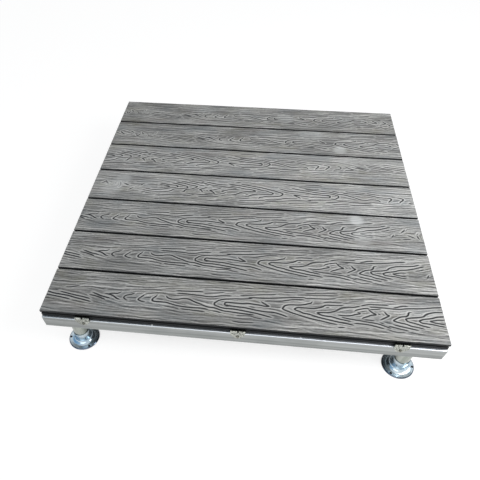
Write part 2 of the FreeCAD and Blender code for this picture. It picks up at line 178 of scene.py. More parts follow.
# Soft rectangular lamps: name, place, point that it is turned to, size, all in metres, and watts.
LAMPS = (
    ("key", (1.45, -0.5, 1.2), (0.2, -0.15, 0.1), (1.2, 1.2), 27.0),
    ("front_fill", (-0.6, -3.0, 1.2), (0.0, -0.4, 0.1), (2.6, 1.4), 16.0),
)

# World: what lights the panel, and what polished metal sees of the room, bluish towards one side.
WHITE = (1.0, 1.0, 1.0, 1.0)
WORLD_LIGHT = (0.96, 0.98, 1.0, 1.0)
WORLD_STRENGTH = 0.46
BLUE_SIDE = (-0.93, -0.2, 0.3)
BLUE_ROOM = (0.24, 0.45, 0.67, 1.0)
DIM_ROOM = (0.03, 0.035, 0.045, 1.0)
# Where the room turns blue towards that side, and dim towards the rear and the floor: from and to,
# and the shares there where they aren't nought and one.
BLUE_RANGE = (0.5, 0.95)
DIM_REAR_RANGE = (0.0, 0.35, 0.0, 0.85)
DIM_LOW_RANGE = (0.06, 0.24, 1.0, 0.0)

# Floor, in metres: half its size, and the reach over which things shade its contact and shelter.
FLOOR_HALF_SIZE = 30.0
CONTACT_REACH = 0.008
SHELTER_REACH = 0.25
OCCLUSION_SAMPLES = 8
# How open the floor lies where its glow begins and is full: beside a contact, in the shelter of the
# panel with its shares, and as metal sees it.
CONTACT_RANGE = (0.3, 0.7)
SHELTER_RANGE = (0.08, 0.35, 0.35, 1.0)
MIRRORED_RANGE = (0.15, 0.6)
# Grey of the floor as light meets it, then grey and glow as the camera and as metal see it.
FLOOR_GREY = 0.6
FLOOR_SEEN = (0.28, 0.84)
FLOOR_MIRRORED = (0.36, 0.76)

# Main grooves of the rolled pattern, as (depth share, points along and across it in millimetres).
STROKES = (
    (1.0, ((-6, -7), (0, -8), (18, -12), (36, -14), (60, -17), (82, -22), (104, -26), (122, -30))),
    (0.9, ((-4, -17), (20, -20), (42, -23), (66, -27))),
    (0.8, ((32, -5), (48, -8), (62, -11), (80, -14), (100, -17), (118, -21))),
    (0.5, ((0, -1), (30, -1))),
    (0.9, ((110, -8), (123, -10), (143, -15), (157, -20))),
    (1.0, ((117, 0), (129, -4), (143, -9), (157, -12), (169, -15))),
    (1.0, ((149, -1), (166, -3), (177, -8), (186, -14), (195, -16))),
    (0.9, ((160, 0), (172, 2), (184, 3), (193, 9))),
    (0.45, ((150, 13), (177, 14), (196, 16))),
    (0.8, ((229, 9), (219, 3), (206, -2), (202, -8), (206, -13), (214, -16))),
    (0.85, ((254, 7), (249, 0), (243, -6), (240, -11), (247, -15), (260, -17))),
    (1.0, ((287, 8), (283, 2), (277, -5), (276, -9), (281, -13), (296, -13), (310, -13),
           (323, -16), (340, -20), (360, -22), (381, -23), (403, -22), (423, -25))),
    (0.5, ((283, -4), (307, -5))),
    (1.0, ((309, 8), (314, 2), (321, -1), (330, -2), (340, -1), (351, 2), (363, 3), (373, 1),
           (381, -3), (391, -7), (400, -10), (410, -14), (421, -17), (436, -18), (446, -21),
           (460, -25), (476, -26), (488, -27), (519, -29), (538, -30))),
    (0.55, ((490, -36), (510, -35), (524, -34), (544, -38), (560, -40))),
    (0.6, ((480, -52), (504, -55), (523, -53), (540, -53))),
    (0.5, ((306, -24), (335, -28), (352, -31))),
    (0.8, ((350, -29), (369, -30), (391, -31), (415, -32))),
    (0.9, ((430, -27), (444, -29), (456, -32))),
    (0.85, ((462, -6), (466, -8), (471, -8))),
    (0.85, ((462, -9), (467, -10), (472, -10))),
    (0.9, ((331, 26), (360, 27), (377, 28), (393, 29), (405, 28))),
    (0.9, ((334, 18), (360, 18), (381, 17), (403, 16), (414, 15), (431, 16), (446, 20), (460, 22),
           (478, 23))),
    (0.7, ((496, 26), (511, 28), (530, 31), (549, 34), (570, 36), (592, 40))),
    (1.0, ((530, 20), (503, 16), (489, 15), (474, 13), (460, 11), (450, 8), (444, 5), (440, 1),
           (435, -4), (436, -9), (443, -12), (451, -15), (467, -17), (481, -17), (503, -19),
           (524, -22), (544, -25), (562, -29), (581, -33))),
    (1.0, ((551, 14), (557, 9), (564, 5), (572, 0), (562, -1), (552, 1), (540, 2), (517, 4),
           (503, 2), (489, 2), (466, 2), (462, 0), (461, -5), (468, -7), (489, -9), (510, -10),
           (524, -12), (540, -15), (560, -17), (589, -18), (600, -21), (609, -24), (619, -28))),
    (0.5, ((520, -5), (541, -7))),
    (1.0, ((681, 26), (677, 20), (671, 18), (660, 14), (643, 11), (626, 10), (617, 8), (611, 5),
           (608, 0), (606, -3), (609, -6), (619, -10), (629, -14), (640, -17), (660, -23),
           (677, -27), (700, -31), (720, -35), (740, -38))),
    (1.0, ((720, 18), (713, 17), (706, 12), (694, 7), (680, 4), (660, 4), (646, 4), (639, 1),
           (636, -1), (638, -4), (642, -6), (649, -8), (657, -12), (671, -14), (684, -18),
           (700, -22), (720, -26), (740, -30), (763, -33), (780, -36))),
    (0.7, ((706, 14), (713, 17), (727, 18), (742, 19), (760, 21))),
    (0.7, ((712, 9), (724, 12))),
    (1.0, ((769, 17), (760, 15), (752, 12), (746, 8), (739, 3), (727, -2), (716, -5), (703, -6),
           (692, -8), (698, -12), (709, -15), (725, -16), (741, -20), (756, -23), (774, -26))),
    (0.9, ((740, -9), (754, -10), (769, -9), (777, -7), (784, -4), (797, 1), (789, 4))),
    (0.8, ((738, -46), (748, -45), (758, -44))),
    (0.4, ((777, -44), (804, -41), (818, -42))),
    (0.45, ((853, -37), (868, -43), (886, -45), (902, -44))),
    (0.9, ((783, 5), (789, 10), (800, 14), (810, 17), (822, 19))),
    (0.8, ((749, -15), (760, -17), (773, -19), (794, -21), (812, -23), (823, -24), (836, -26),
           (849, -30), (860, -34), (868, -37))),
    (1.0, ((817, 17), (821, 12), (827, 6), (835, 1), (824, -2), (814, -7), (807, -10),
           (799, -15))),
    (1.4, ((840, 4), (847, 1))),
    (1.0, ((855, 13), (859, 8), (862, 3), (867, 1), (859, -5), (851, -10), (843, -15))),
    (1.0, ((924, 16), (916, 14), (914, 8), (909, 3), (900, 1), (893, -1), (886, -5), (880, -9),
           (876, -13), (883, -16), (891, -18), (903, -20), (917, -25), (931, -27), (948, -31))),
    (1.0, ((1040, 33), (1026, 28), (1012, 25), (996, 23), (974, 20), (963, 16), (957, 13),
           (951, 7), (940, 3), (929, 1), (914, -2), (906, -6), (910, -12), (917, -14), (929, -17),
           (946, -22), (962, -25))),
    (0.9, ((1052, 29), (1038, 23), (1024, 18), (1012, 14), (1000, 11), (983, 8), (967, 2),
           (953, -1), (944, -4), (938, -8), (941, -12), (953, -14), (967, -15), (983, -18),
           (1000, -20))),
    (0.8, ((1000, 0), (983, -1), (971, -4), (964, -6), (968, -8), (983, -11), (1000, -13))),
    (0.7, ((989, -5), (994, -6))),
    (0.9, ((800, 23), (813, 28), (824, 30), (840, 31), (860, 32), (871, 31))),
    (0.8, ((880, 26), (889, 28), (903, 33), (919, 34))),
    (0.9, ((821, 22), (840, 23), (860, 23), (880, 22), (897, 23), (911, 26), (929, 28), (949, 30),
           (967, 33), (983, 36), (1004, 39))),
    (0.9, ((760, 15), (771, 17), (783, 18), (793, 21), (800, 23))),
    (0.7, ((820, 15), (840, 17), (851, 19))),
    (0.45, ((768, 32), (781, 35), (793, 38), (815, 41))),
    (0.35, ((784, 42), (800, 45), (817, 48))),
    (0.9, ((520, 22), (540, 23), (560, 24), (577, 26), (591, 28), (606, 30), (620, 32), (641, 34),
           (665, 36))),
    (0.9, ((560, 15), (577, 17), (591, 18), (606, 20), (617, 23), (629, 26), (646, 28),
           (662, 29))),
    (0.7, ((706, 25), (727, 28), (743, 28), (757, 30))),
    (0.7, ((660, 33), (684, 35), (720, 37), (743, 41))),
    (0.5, ((660, 50), (680, 51), (700, 53), (727, 56), (750, 57))),
    (0.45, ((640, 42), (680, 45), (700, 47), (720, 49), (752, 52))),
    (0.4, ((560, 54), (600, 55), (650, 58))),
    (0.9, ((779, -30), (800, -30), (820, -32), (834, -35), (852, -39))),
    (0.7, ((803, -17), (817, -17), (832, -18))),
    (0.7, ((840, -21), (854, -25))),
    (0.9, ((872, -24), (883, -27), (894, -29), (906, -31), (917, -33), (933, -36))),
    (0.8, ((860, -30), (880, -34), (894, -37), (909, -39))),
    (0.7, ((41, 10), (57, 12), (67, 15), (80, 18))),
    (0.4, ((108, 31), (143, 31), (186, 34))),
    (0.45, ((196, 27), (218, 28), (250, 30))),
    (0.4, ((214, 19), (256, 21), (300, 23))),
    (0.45, ((238, 28), (260, 29), (280, 32), (312, 38), (346, 43))),
    (0.4, ((208, 44), (260, 46), (312, 49))),
    (0.35, ((372, 50), (420, 52), (490, 56))),
    (0.3, ((350, 42), (420, 45), (470, 47))),
    (0.45, ((400, 36), (446, 38), (492, 42))),
    (0.5, ((402, 24), (417, 26), (439, 29), (460, 33))),
    (0.25, ((-170, -55), (-90, -54), (0, -55), (18, -56), (60, -54), (180, -53), (300, -54),
           (400, -53), (480, -52), (530, -52), (600, -54), (700, -54), (800, -53), (860, -55),
           (915, -56), (1000, -54), (1100, -55), (1205, -54))),
    (0.8, ((1022, 9), (1036, 12), (1049, 18))),
    (0.9, ((1078, 8), (1086, 15), (1092, 22))),
    (0.8, ((1058, 0), (1054, -7), (1050, -14))),
    (1.0, ((1094, -1), (1103, -4), (1110, -8), (1116, -11))),
    (1.0, ((1122, 4), (1127, 10))),
    (0.45, ((1040, -11), (1073, -10), (1096, -10))),
    (0.8, ((1078, -18), (1092, -17), (1105, -15))),
    (0.8, ((1122, 3), (1124, -8), (1128, -15))),
    (0.8, ((1142, -4), (1139, -13))),
    (0.9, ((1162, -1), (1169, -8), (1173, -15), (1178, -9), (1186, -4))),
    (1.0, ((-158, 9), (-152, 2), (-146, -4), (-138, -9))),
    (0.9, ((-121, 16), (-115, 10), (-107, 4))),
    (1.0, ((-97, -5), (-92, -14), (-87, -7), (-82, 1))),
    (1.0, ((-80, 11), (-76, 3), (-70, -3))),
    (1.0, ((-63, -5), (-60, -12))),
    (0.9, ((-31, 5), (-27, 15))),
    (0.9, ((-36, -8), (-24, -9))),
    (0.8, ((-16, -8), (-4, -12))),
)


def curve_through(knots, at):
    """Smooth curve through given knots, with no overshoot."""
    places = np.array([knot[0] for knot in knots], float)
    values = np.array([knot[1] for knot in knots], float)
    width = np.diff(places)
    slope = np.diff(values) / width
    tangent = np.zeros(len(places))
    tangent[0], tangent[-1] = slope[0], slope[-1]
    same_way = slope[:-1] * slope[1:] > 0
    mean = (slope[:-1] * width[1:] + slope[1:] * width[:-1]) / (width[:-1] + width[1:])
    tangent[1:-1] = np.where(same_way, mean, 0.0)
    index = np.clip(np.searchsorted(places, at) - 1, 0, len(places) - 2)
    h = width[index]
    t = (at - places[index]) / h
    return (
        values[index] * (1 + 2 * t) * (1 - t) ** 2
        + h * tangent[index] * t * (1 - t) ** 2
        + values[index + 1] * t * t * (3 - 2 * t)
        + h * tangent[index + 1] * t * t * (t - 1)
    )


def smooth_points(points):
    """Points at short steps along a stroke, and for each a share that is nought at its ends."""
    corners = np.array(points, float)
    reach = np.concatenate([[0.0], np.cumsum(np.hypot(*np.diff(corners, axis=0).T))])
    count = max(2, int(reach[-1] / STROKE_STEP) + 1)
    at = np.linspace(0.0, reach[-1], count + 1)
    parts = [curve_through(list(zip(reach, corners[:, axis])), at) for axis in (0, 1)]
    ends = np.minimum(at, reach[-1] - at) / STROKE_TAPER
    return np.stack(parts, axis=1), np.clip(ends, 0.0, 1.0)


def nearby(places, low, high, reach):
    """Slice of the sorted places within a reach of a span."""
    return slice(*np.searchsorted(places, (min(low, high) - reach, max(low, high) + reach)))


def press_strokes(x, across, offset, way):
    """Groove and ridge shares of the strokes over a board."""
    groove, ridge = np.zeros((2, len(x), len(across)))
    end_width, more_width = GROOVE_WIDTH_SHARES
    for depth, points in STROKES:
        curve, ends = smooth_points(points)
        curve_x = way * (curve[:, 0] - offset)
        curve_v = way * curve[:, 1]
        if curve_x.max() < -STROKE_REACH or curve_x.min() > BOARD_LENGTH + STROKE_REACH:
            continue
        for k in range(len(curve_x) - 1):
            ax, av, bx, bv = curve_x[k], curve_v[k], curve_x[k + 1], curve_v[k + 1]
            block = (nearby(x, ax, bx, STROKE_REACH), nearby(across, av, bv, STROKE_REACH))
            if block[0].start == block[0].stop or block[1].start == block[1].stop:
                continue
            px = x[block[0]][:, None] - ax
            pv = across[block[1]][None, :] - av
            dx, dv = bx - ax, bv - av
            t = np.clip((px * dx + pv * dv) / (dx * dx + dv * dv), 0.0, 1.0)
            distance = np.hypot(px - t * dx, pv - t * dv)
            end = ends[k] * (1.0 - t) + ends[k + 1] * t
            width = GROOVE_HALF_WIDTH * (end_width + more_width * end)
            pressed = depth * (END_DEPTH_SHARE + (1.0 - END_DEPTH_SHARE) * end)
            cut = pressed * np.exp(-((distance / width) ** 2))
            groove[block] = np.maximum(groove[block], cut)
            raised = np.exp(-(((distance - RIDGE_PLACE) / RIDGE_HALF_WIDTH) ** 2))
            ridge[block] = np.maximum(ridge[block], pressed * raised)
    return groove, ridge * (1.0 - groove)


def fibre_directions(along, across):
    """Direction of the fibres on the pattern's grid, which bend beside the strokes."""
    flat = np.full((len(along), len(across)), FIBRE_STRAIGHT_PULL)
    tilt = np.zeros_like(flat)
    (near_pull, near_square), (far_pull, far_square) = FIBRE_PULLS
    for depth, points in STROKES:
        curve, _ = smooth_points(points)
        for (au, av), (bu, bv) in zip(curve[:-1], curve[1:]):
            block = (nearby(along, au, bu, FIBRE_BEND_REACH),
                     nearby(across, av, bv, FIBRE_BEND_REACH))
            square = (along[block[0]][:, None] - (au + bu) / 2.0) ** 2
            square = square + (across[block[1]][None, :] - (av + bv) / 2.0) ** 2
            weight = depth * (near_pull * np.exp(-square / near_square)
                              + far_pull * np.exp(-square / far_square))
            turn = 2.0 * math.atan2(bv - av, bu - au)
            flat[block] += weight * math.cos(turn)
            tilt[block] += weight * math.sin(turn)
    angle = 0.5 * np.arctan2(tilt, flat)
    for swing, length, slant in FIBRE_WAVES:
        drift = np.sin(along[:, None] / (FIBRE_WAVE_DRIFT_LENGTH * length))
        place = along[:, None] + slant * across[None, :]
        angle += swing * np.sin(place * WAVE_TURN / length + FIBRE_WAVE_DRIFT * drift)
    return np.cos(angle), np.sin(angle)


def smeared(noise, direction_u, direction_v, steps):
    """Noise drawn out along the fibres by a number of grid steps each way."""
    rows, columns = noise.shape
    start_i, start_j = np.meshgrid(np.arange(rows, dtype=float), np.arange(columns, dtype=float),
                                   indexing="ij")
    total = noise.copy()
    for sign in (1.0, -1.0):
        i, j = start_i.copy(), start_j.copy()
        last_u, last_v = sign * direction_u, sign * direction_v
        for step in range(steps):
            i += last_u
            j += last_v * GRID_ALONG / GRID_ACROSS
            at = (np.clip(np.rint(i), 0, rows - 1).astype(int),
                  np.clip(np.rint(j), 0, columns - 1).astype(int))
            total += noise[at] * (1.0 - (step + 1.0) / (steps + 1.0))
            next_u, next_v = direction_u[at], direction_v[at]
            same = np.where(next_u * last_u + next_v * last_v < 0.0, -1.0, 1.0)
            last_u, last_v = same * next_u, same * next_v
    return total


def soften(field, passes):
    """Field averaged with its neighbours across the board."""
    for _ in range(passes):
        padded = np.pad(field, ((0, 0), (1, 1)), mode="edge")
        field = 0.25 * padded[:, :-2] + 0.5 * field + 0.25 * padded[:, 2:]
    return field


def levelled(field):
    """Field with a mean of nought and a spread of one."""
    return (field - field.mean()) / field.std()


def windowed(field, rows, columns):
    """Mean of the field over a window of a number of grid steps each way."""
    for axis, half in ((0, rows), (1, columns)):
        ends = [(0, 0), (0, 0)]
        ends[axis] = (half + 1, half)
        total = np.cumsum(np.pad(field, ends, mode="reflect"), axis=axis)
        size = 2 * half + 1
        if axis == 0:
            field = (total[size:] - total[:-size]) / size
        else:
            field = (total[:, size:] - total[:, :-size]) / size
    return field


def evened(field):
    """Field with neither broad blotches nor stronger and weaker stretches."""
    field = field - windowed(field, *BLOTCH_WINDOW)
    return field / np.sqrt(windowed(field * field, *STRENGTH_WINDOW) + QUIET_SHARE)


def draw_fibres():
    """The pattern's grid and the relief of the fibres on it, about nought with a spread of one."""
    along = np.arange(PATTERN_START, PATTERN_END, GRID_ALONG)
    across = np.arange(-BOARD_WIDTH / 2.0, BOARD_WIDTH / 2.0 + GRID_ACROSS, GRID_ACROSS)
    direction_u, direction_v = fibre_directions(along, across)
    random = np.random.RandomState(FIBRE_SEED)
    relief = np.zeros((len(along), len(across)))
    for weight, fine, broad, steps in FIBRE_LAYERS:
        noise = soften(random.standard_normal(relief.shape), fine)
        noise -= soften(noise, broad)
        relief += weight * levelled(smeared(noise, direction_u, direction_v, steps))
    return along, across, levelled(evened(levelled(relief)))


def sampled(grid, u, v):
    """The fibre relief at places on the pattern."""
    along, across, relief = grid
    # Just short of the last step of the grid, so that each place has a next one.
    i = np.clip((u - along[0]) / GRID_ALONG, 0.0, len(along) - 1.001)
    j = np.clip((v - across[0]) / GRID_ACROSS, 0.0, len(across) - 1.001)
    low_i, low_j = i.astype(int), j.astype(int)
    part_i, part_j = i - low_i, j - low_j
    near = relief[low_i, low_j] * (1.0 - part_j) + relief[low_i, low_j + 1] * part_j
    far = relief[low_i + 1, low_j] * (1.0 - part_j) + relief[low_i + 1, low_j + 1] * part_j
    return near * (1.0 - part_i) + far * part_i


def dust_marks(index, x, v):
    """Share of dust over a board's top."""
    total = np.zeros(x.shape)
    for board, at_x, at_v, size, share in DUST_MARKS:
        if board == index + 1:
            square = ((x - at_x) / size) ** 2 + ((v - at_v) / size) ** 2
            total += share * np.exp(-square ** DUST_EDGE_POWER)
    return np.clip(total, 0.0, 1.0)


def top_columns():
    """Places across a board and heights of its top, from front edge to rear edge."""
    half = BOARD_WIDTH / 2.0
    edge = half - BOARD_TOP_RADIUS
    side = np.linspace(FINE_BAND, edge, SIDE_COLUMNS + 1)[1:]
    flat = np.concatenate([-side[::-1], np.linspace(-FINE_BAND, FINE_BAND, FINE_COLUMNS + 1), side])
    turns = np.linspace(0.0, math.pi / 2.0, EDGE_ARC_STEPS + 1)[:-1]
    arc_v = half - BOARD_TOP_RADIUS + BOARD_TOP_RADIUS * np.cos(turns)
    arc_z = BOARD_THICKNESS - BOARD_TOP_RADIUS + BOARD_TOP_RADIUS * np.sin(turns)
    across = np.concatenate([-arc_v, flat, arc_v[::-1]])
    height = np.concatenate([arc_z, np.full(len(flat), BOARD_THICKNESS), arc_z[::-1]])
    return across, height


def embossed_top(index, x, across, height, fibres):
    """Points of a board's top, and the fields over them that its material reads."""
    grid_x, grid_v = np.meshgrid(x, across, indexing="ij")
    offset, way = BOARD_PATTERNS[index]
    u = offset + way * grid_x
    v = way * grid_v
    fibre = sampled(fibres, u, v)
    groove, ridge = press_strokes(x, across, offset, way)
    margin = np.clip((BOARD_WIDTH / 2.0 - np.abs(grid_v)) / EMBOSS_MARGIN, 0.0, 1.0)
    lowered = np.clip(FIBRE_CUT - FIBRE_CUT_SWING * fibre, 0.0, 1.0)
    cut = STROKE_DEPTH * groove + FIBRE_DEPTH * lowered * (1.0 - groove)
    cut += RIDGE_HEIGHT * (1.0 - ridge)
    top_z = height[None, :] - cut * margin
    return np.stack([grid_x, grid_v, top_z], axis=-1).reshape(-1, 3), {
        "press": (groove * margin, ridge * margin, fibre),
        "marks": (u * MM, v * MM, dust_marks(index, grid_x, grid_v)),
    }


def lower_outline():
    """The board's section below its top, from the rear edge round to the front edge."""
    half = BOARD_WIDTH / 2.0
    lip = half - LOWER_LIP_SETBACK
    floor = half - SIDE_GROOVE_DEPTH
    roof_z = BOARD_THICKNESS - TOP_LIP_THICKNESS
    floor_z = roof_z - SIDE_GROOVE_HEIGHT
    points = [(half, roof_z), (floor, roof_z), (floor, floor_z), (lip, floor_z), (lip, 0.0)]
    pitch = 2.0 * lip / CHANNEL_COUNT
    for index in range(CHANNEL_COUNT):
        middle = lip - (index + 0.5) * pitch
        right = middle + CHANNEL_WIDTH / 2.0
        left = middle - CHANNEL_WIDTH / 2.0
        points += [(right, 0.0), (right, CHANNEL_DEPTH), (left, CHANNEL_DEPTH), (left, 0.0)]
    points += [(-lip, 0.0), (-lip, floor_z), (-floor, floor_z), (-floor, roof_z), (-half, roof_z)]
    return points


def sides_and_underside(coarse_x, columns, base):
    """Points and faces below the top, numbered from a base and joined to the top's long edges."""
    outline = lower_outline()
    count = len(outline)
    points = [(cx, pv, pz) for cx in coarse_x for pv, pz in outline]
    faces = []
    for i in range(COARSE_STEPS):
        first = base + i * count
        last = first + count - 1
        faces += [(a, a + count, a + count + 1, a + 1) for a in range(first, last)]
        front = [(i * FINE_PER_COARSE + k) * columns for k in range(FINE_PER_COARSE + 1)]
        rear = [f + columns - 1 for f in front]
        faces.append(tuple([first] + rear + [first + count])[::-1])
        faces.append(tuple([last] + front + [last + count]))
    return points, faces


def chamber_rings():
    """Round-cornered sections of the hollow chambers."""
    first = SIDE_GROOVE_DEPTH + CHAMBER_GROOVE_WALL
    room = BOARD_WIDTH - 2.0 * first - (CHAMBER_COUNT - 1) * CHAMBER_WEB
    width = room / CHAMBER_COUNT
    low, high = CHAMBER_SKIN, BOARD_THICKNESS - CHAMBER_SKIN
    rings = []
    for index in range(CHAMBER_COUNT):
        start = -BOARD_WIDTH / 2.0 + first + index * (width + CHAMBER_WEB)
        corners = (
            (start + width - CHAMBER_RADIUS, high - CHAMBER_RADIUS, 0.0),
            (start + CHAMBER_RADIUS, high - CHAMBER_RADIUS, 90.0),
            (start + CHAMBER_RADIUS, low + CHAMBER_RADIUS, 180.0),
            (start + width - CHAMBER_RADIUS, low + CHAMBER_RADIUS, 270.0),
        )
        ring = []
        for centre_v, centre_z, first_angle in corners:
            for step in range(CHAMBER_ARC_STEPS + 1):
                angle = math.radians(first_angle + 90.0 * step / CHAMBER_ARC_STEPS)
                ring.append((
                    centre_v + CHAMBER_RADIUS * math.cos(angle),
                    centre_z + CHAMBER_RADIUS * math.sin(angle),
                ))
        rings.append(ring)
    return rings


def chamber_walls(base):
    """Points and faces of the chambers, numbered from a base, and each one's two end rings."""
    points = []
    faces = []
    ends = []
    for ring in chamber_rings():
        size = len(ring)
        start = base + len(points)
        near = list(range(start, start + size))
        far = list(range(start + size, start + 2 * size))
        points += [(cx, pv, pz) for cx in (0.0, BOARD_LENGTH) for pv, pz in ring]
        for j in range(size):
            k = (j + 1) % size
            faces.append((near[j], near[k], far[k], far[j]))
        ends.append((near, far))
    return points, faces, ends


def cut_end(points, loops, far):
    """Triangles over a cut end, between its outline and its chambers' rings."""
    flat = [[Vector((points[i][1], points[i][2], 0.0)) for i in loop] for loop in loops]
    ids = [i for loop in loops for i in loop]
    faces = []
    for triangle in tessellate_polygon(flat):
        corner = [ids[t] for t in triangle]
        a, b, c = (points[i] for i in corner)
        turn = (b[1] - a[1]) * (c[2] - a[2]) - (b[2] - a[2]) * (c[1] - a[1])
        if (turn > 0) != far:
            corner.reverse()
        faces.append(tuple(corner))
    return faces


def build_board(index, materials, fibres):
    """One embossed board in place of the plain CAD board."""
    node = "deck_board_%d" % (index + 1)
    low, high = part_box(node)

    across, height = top_columns()
    columns = len(across)
    rows = COARSE_STEPS * FINE_PER_COARSE + 1
    x = np.linspace(0.0, BOARD_LENGTH, rows)
    top, fields = embossed_top(index, x, across, height, fibres)
    under, under_faces = sides_and_underside(x[::FINE_PER_COARSE], columns, len(top))
    walls, wall_faces, rings = chamber_walls(len(top) + len(under))
    points = np.concatenate([top, np.array(under), np.array(walls)])

    faces = [
        (a, a + columns, a + columns + 1, a + 1)
        for row in range(rows - 1) for a in range(row * columns, (row + 1) * columns - 1)
    ]
    # The rounded top edges take the charcoal core, as painted shade of the gaps between the boards,
    # but the front board's front edge takes it only at its foot.
    front_shaded_edge = 1 if index == 0 else EDGE_ARC_STEPS
    rear_shaded_edge = columns - 1 - EDGE_ARC_STEPS
    slots = [int(j < front_shaded_edge or j >= rear_shaded_edge) for j in range(columns - 1)] * (rows - 1)
    faces += under_faces + wall_faces
    count = len(under) // (COARSE_STEPS + 1)
    for end in (0, 1):
        first_top = (rows - 1) * end * columns
        first_under = len(top) + COARSE_STEPS * end * count
        outline = [*range(first_top, first_top + columns),
                   *range(first_under, first_under + count)]
        faces += cut_end(points, [outline] + [ring[end] for ring in rings], end == 1)
    slots += [1] * (len(faces) - len(slots))

    points += np.array([low.x, (low.y + high.y) / 2.0, low.z]) / MM
    mesh = bpy.data.meshes.new("embossed_board_%d" % (index + 1))
    mesh.from_pydata((points * MM).tolist(), [], faces)
    for material in materials:
        mesh.materials.append(material)
    mesh.polygons.foreach_set("material_index", slots)
    for name, parts in fields.items():
        values = np.zeros((len(points), 3), np.float32)
        values[: len(top)] = np.stack([part.ravel() for part in parts], axis=1)
        attribute = mesh.attributes.new(name, "FLOAT_VECTOR", "POINT")
        attribute.data.foreach_set("vector", values.ravel())
    mesh.shade_smooth()
    mesh.set_sharp_from_angle(angle=math.radians(SHARP_DEGREES))
    mesh.update()
    board = bpy.data.objects.new(mesh.name, mesh)
    bpy.context.scene.collection.objects.link(board)
    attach(board, "root")
    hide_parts(node)


class Nodes:
    """Short way to make and join the nodes of a material or a world."""

    def __init__(self, owner, output):
        owner.use_nodes = True
        self.tree = owner.node_tree
        self.tree.nodes.clear()
        self.output = self.make(output)

    def make(self, kind, inputs=None, **settings):
        node = self.tree.nodes.new(kind)
        for key, value in settings.items():
            setattr(node, key, value)
        for key, value in (inputs or {}).items():
            self.set(node.inputs[key], value)
        return node

    def set(self, socket, value):
        if isinstance(value, bpy.types.NodeSocket):
            self.tree.links.new(value, socket)
        else:
            socket.default_value = value

    def show(self, shader):
        self.set(self.output.inputs["Surface"], shader)

    def math(self, operation, first, second=None):
        node = self.make("ShaderNodeMath", {0: first}, operation=operation)
        if second is not None:
            self.set(node.inputs[1], second)
        return node.outputs[0]

    def ramp(self, value, low, high, to_low=0.0, to_high=1.0, kind="SMOOTHSTEP"):
        node = self.make("ShaderNodeMapRange", {
            "Value": value, "From Min": low, "From Max": high, "To Min": to_low, "To Max": to_high,
        }, interpolation_type=kind)
        return node.outputs["Result"]

    def mix(self, factor, first, second):
        node = self.make("ShaderNodeMix", {0: factor, 6: first, 7: second}, data_type="RGBA")
        return node.outputs[2]

    def pick(self, factor, first, second):
        return self.make("ShaderNodeMixShader", {0: factor, 1: first, 2: second}).outputs[0]

    def vector(self, x, y, z):
        return self.make("ShaderNodeCombineXYZ", {"X": x, "Y": y, "Z": z}).outputs[0]

    def split(self, vector):
        return self.make("ShaderNodeSeparateXYZ", {"Vector": vector}).outputs

    def between(self, operation, first, second):
        node = self.make("ShaderNodeVectorMath", {0: first, 1: second}, operation=operation)
        return node.outputs["Value"]

    def noise(self, vector, detail=3.0, roughness=0.55):
        node = self.make("ShaderNodeTexNoise", {
            "Vector": vector, "Scale": 1.0, "Detail": detail, "Roughness": roughness,
        })
        return node.outputs["Fac"]

    def coordinates(self, output):
        return self.make("ShaderNodeTexCoord").outputs[output]

    def position(self, *scale):
        return self.make("ShaderNodeMapping", {
            "Vector": self.coordinates("Object"), "Scale": scale,
        }).outputs[0]

    def shelter(self, reach):
        node = self.make("ShaderNodeAmbientOcclusion", {"Distance": reach},
                         samples=OCCLUSION_SAMPLES)
        return node.outputs["AO"]

    def bump(self, height, distance, strength, normal=None):
        inputs = {"Height": height, "Distance": distance, "Strength": strength}
        if normal is not None:
            inputs["Normal"] = normal
        return self.make("ShaderNodeBump", inputs).outputs[0]

    def principled(self, **inputs):
        named = {key.replace("_", " "): value for key, value in inputs.items()}
        self.show(self.make("ShaderNodeBsdfPrincipled", named).outputs[0])


def new_material(name):
    """A material and its nodes."""
    material = bpy.data.materials.new(name)
    return material, Nodes(material, "ShaderNodeOutputMaterial")


def linear(level):
    """Scene-linear value of a display level from 0 to 255."""
    share = level / 255.0
    return share / 12.92 if share <= 0.04045 else ((share + 0.055) / 1.055) ** 2.4


def colour(red, green, blue):
    """Scene-linear colour of three display levels."""
    return (linear(red), linear(green), linear(blue), 1.0)


